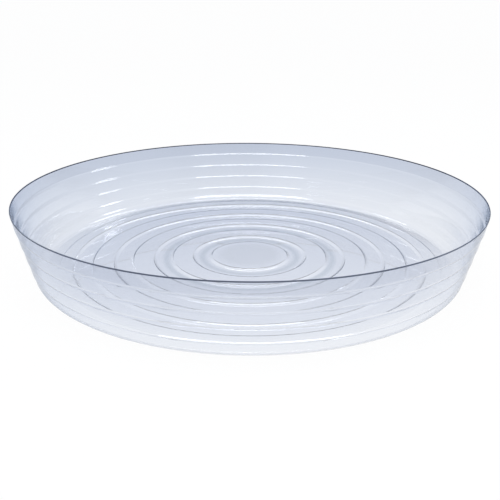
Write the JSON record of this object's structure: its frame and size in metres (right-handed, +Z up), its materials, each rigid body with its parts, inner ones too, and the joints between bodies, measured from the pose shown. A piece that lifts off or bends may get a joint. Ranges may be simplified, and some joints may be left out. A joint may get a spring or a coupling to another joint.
{
  "type": "plant saucer",
  "caption": "Round clear vinyl plant saucer with a leaning stepped wall and a grooved floor, to stand under a pot and catch its drainage water",
  "frame": {"origin": "below the middle of the floor, on the surface that the saucer stands on", "axes": "+Z is up along the saucer's axis of revolution; the saucer is round, so X and Y are any two level directions"},
  "size_m": [0.406, 0.406, 0.0629],
  "materials": {
    "clear_vinyl": "gloss"
  },
  "bodies": {
    "root": {"saucer": "clear_vinyl"}
  },
  "joints": []
}
